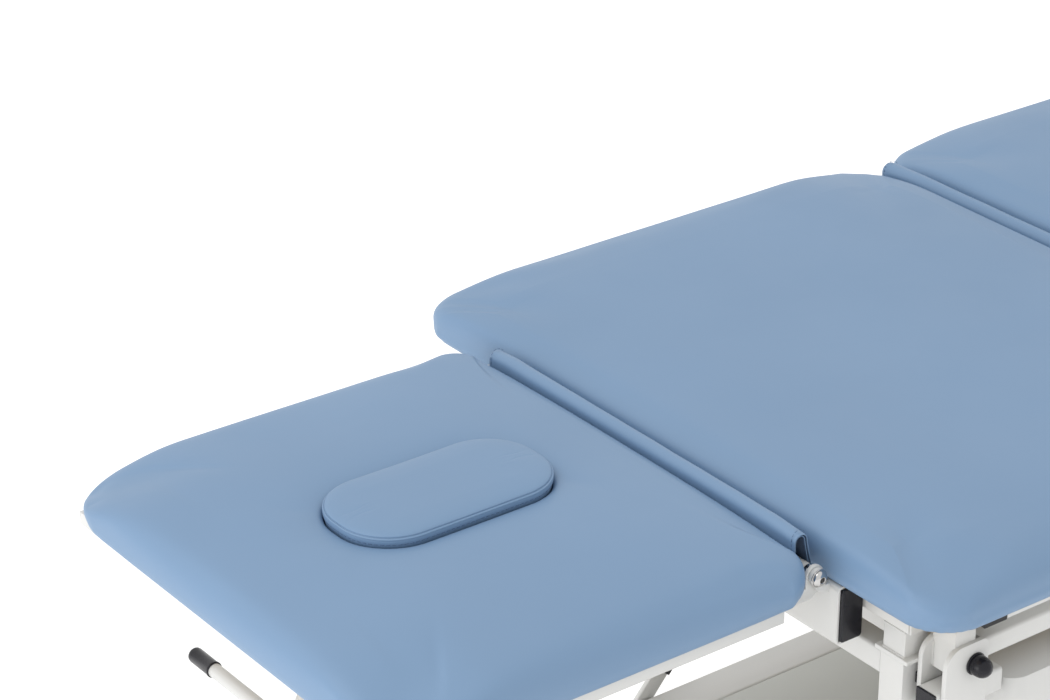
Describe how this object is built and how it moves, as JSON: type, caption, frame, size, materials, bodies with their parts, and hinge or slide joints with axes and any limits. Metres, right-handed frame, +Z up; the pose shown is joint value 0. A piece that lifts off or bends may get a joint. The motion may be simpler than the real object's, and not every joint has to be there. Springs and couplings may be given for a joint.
{
  "type": "medical exam table",
  "caption": "Padded three-section exam table with a face hole and plug, hinged head and foot sections and a parallelogram height lift on a panel base.",
  "frame": {"origin": "bottom centre of the whole table, on the floor", "axes": "+X from the head end to the foot end, +Y to the left seen from the head end, +Z up"},
  "size_m": [1.944, 0.76, 0.647],
  "materials": {
    "vinyl": "smooth coated upholstery vinyl, slate blue",
    "white_steel": "warm white powder coat, satin",
    "black_plastic": "black moulded plastic",
    "chrome": "polished chrome plate",
    "plywood": "birch plywood",
    "grey_plastic": "light textured grey plastic"
  },
  "bodies": {
    "base": {"base_side_tube_left": "white_steel", "base_side_tube_right": "white_steel", "base_deck": "white_steel", "control_box": "grey_plastic", "levelling_foot_head_left": "black_plastic", "levelling_foot_head_right": "black_plastic", "levelling_foot_foot_left": "black_plastic", "levelling_foot_foot_right": "black_plastic"},
    "front_arms": {"front_lift_arm_left": "white_steel", "front_lift_arm_right": "white_steel", "front_torque_tube": "white_steel"},
    "rear_arms": {"rear_lift_arm_left": "white_steel", "rear_lift_arm_right": "white_steel", "rear_torque_tube": "white_steel"},
    "lift_housing": {"lift_actuator_housing": "black_plastic"},
    "lift_rod": {"lift_actuator_rod": "chrome"},
    "top_frame": {"middle_board": "plywood", "middle_cushion": "vinyl", "hinge_cross_tube": "white_steel", "hinge_tube_cap_left": "black_plastic", "hinge_tube_cap_right": "black_plastic", "head_pivot_bolt_left": "chrome", "head_pivot_bolt_right": "chrome", "front_cross_tube": "white_steel", "lower_cross_tube": "white_steel", "corner_post_left": "white_steel", "corner_post_right": "white_steel", "clevis_bracket_left": "white_steel", "clevis_bracket_right": "white_steel", "pivot_cap_left": "black_plastic", "pivot_cap_right": "black_plastic", "side_rail_left": "white_steel", "side_rail_right": "white_steel", "main_beam_left": "white_steel", "main_beam_right": "white_steel", "front_cross_member": "white_steel", "middle_cross_member": "white_steel", "foot_hinge_tube": "white_steel", "head_hinge_flap": "vinyl", "foot_hinge_flap": "vinyl"},
    "head_section": {"head_board": "plywood", "head_cushion": "vinyl", "head_rail_left": "white_steel", "head_rail_right": "white_steel", "head_cross_bar": "white_steel", "head_end_bar": "white_steel"},
    "face_plug": {"face_hole_plug": "vinyl"},
    "release_bar": {"head_release_bar": "white_steel", "release_grip_left": "black_plastic", "release_grip_right": "black_plastic"},
    "head_spring_tube": {"head_spring_cylinder": "black_plastic"},
    "head_spring_piston": {"head_spring_rod": "chrome"},
    "foot_section": {"foot_board": "plywood", "foot_cushion": "vinyl", "foot_rail_left": "white_steel", "foot_rail_right": "white_steel", "foot_cross_bar": "white_steel"},
    "foot_spring_tube": {"foot_spring_cylinder": "black_plastic"},
    "foot_spring_piston": {"foot_spring_rod": "chrome"},
    "pedal": {"pedal_lever": "white_steel"}
  },
  "joints": [
    {"name": "lift", "type": "hinge", "parent": "base", "child": "front_arms", "pos_m": [0.167, 0, 0.11], "axis": [0, 1, 0], "range_deg": [-20, 36]},
    {"name": "top_level", "type": "hinge", "parent": "front_arms", "child": "top_frame", "pos_m": [-0.285, 0, 0.44], "axis": [0, 1, 0], "range_deg": [-36, 20]},
    {"name": "rear_arm_pivot", "type": "hinge", "parent": "base", "child": "rear_arms", "pos_m": [0.497, 0, 0.11], "axis": [0, 1, 0], "range_deg": [-20, 36]},
    {"name": "lift_housing_pivot", "type": "hinge", "parent": "base", "child": "lift_housing", "pos_m": [-0.005, 0, 0.108], "axis": [0, 1, 0], "range_deg": [-11.7, 21]},
    {"name": "lift_rod_slide", "type": "slide", "parent": "lift_housing", "child": "lift_rod", "axis": [0.621, 0, 0.7838], "range_m": [-0.0432, 0.0776]},
    {"name": "head_tilt", "type": "hinge", "parent": "top_frame", "child": "head_section", "pos_m": [-0.515, 0, 0.595], "axis": [0, 1, 0], "range_deg": [-30, 35], "deforming": ["head_hinge_flap"]},
    {"name": "head_spring_pivot", "type": "hinge", "parent": "top_frame", "child": "head_spring_tube", "pos_m": [-0.415, 0.06, 0.425], "axis": [0, 1, 0], "range_deg": [-6.8, 7.9]},
    {"name": "head_spring_slide", "type": "slide", "parent": "head_spring_tube", "child": "head_spring_piston", "axis": [-0.8475, 0, 0.5308], "range_m": [-0.0452, 0.0527]},
    {"name": "face_plug_lift", "type": "slide", "parent": "head_section", "child": "face_plug", "axis": [0, 0, 1], "range_m": [0, 0.08]},
    {"name": "head_release", "type": "hinge", "parent": "head_section", "child": "release_bar", "pos_m": [-0.855, 0, 0.556], "axis": [0, 1, 0], "range_deg": [0, 15], "stiffness_Nm_per_rad": 6, "springref_deg": -11.46},
    {"name": "foot_tilt", "type": "hinge", "parent": "top_frame", "child": "foot_section", "pos_m": [0.103, 0, 0.614], "axis": [0, -1, 0], "range_deg": [0, 70], "deforming": ["foot_hinge_flap"]},
    {"name": "foot_spring_pivot", "type": "hinge", "parent": "top_frame", "child": "foot_spring_tube", "pos_m": [0.085, -0.06, 0.485], "axis": [0, -1, 0], "range_deg": [0, 39]},
    {"name": "foot_spring_slide", "type": "slide", "parent": "foot_spring_tube", "child": "foot_spring_piston", "axis": [0.9328, 0, 0.3603], "range_m": [0, 0.11]},
    {"name": "pedal_press", "type": "hinge", "parent": "base", "child": "pedal", "pos_m": [-0.251, 0.336, 0.045], "axis": [0, 1, 0], "range_deg": [0, 25], "stiffness_Nm_per_rad": 3, "springref_deg": -11.46}
  ],
  "couplings": [
    {"joint": "top_level", "follows": "lift", "ratio": -1},
    {"joint": "rear_arm_pivot", "follows": "lift", "ratio": 1},
    {"joint": "lift_housing_pivot", "follows": "lift", "ratio": 0.57751},
    {"joint": "lift_rod_slide", "follows": "lift", "m_per_rad": 0.12321},
    {"joint": "head_spring_pivot", "follows": "head_tilt", "ratio": 0.22048},
    {"joint": "head_spring_slide", "follows": "head_tilt", "m_per_rad": 0.08601},
    {"joint": "foot_spring_pivot", "follows": "foot_tilt", "ratio": 0.5545},
    {"joint": "foot_spring_slide", "follows": "foot_tilt", "m_per_rad": 0.08991}
  ]
}
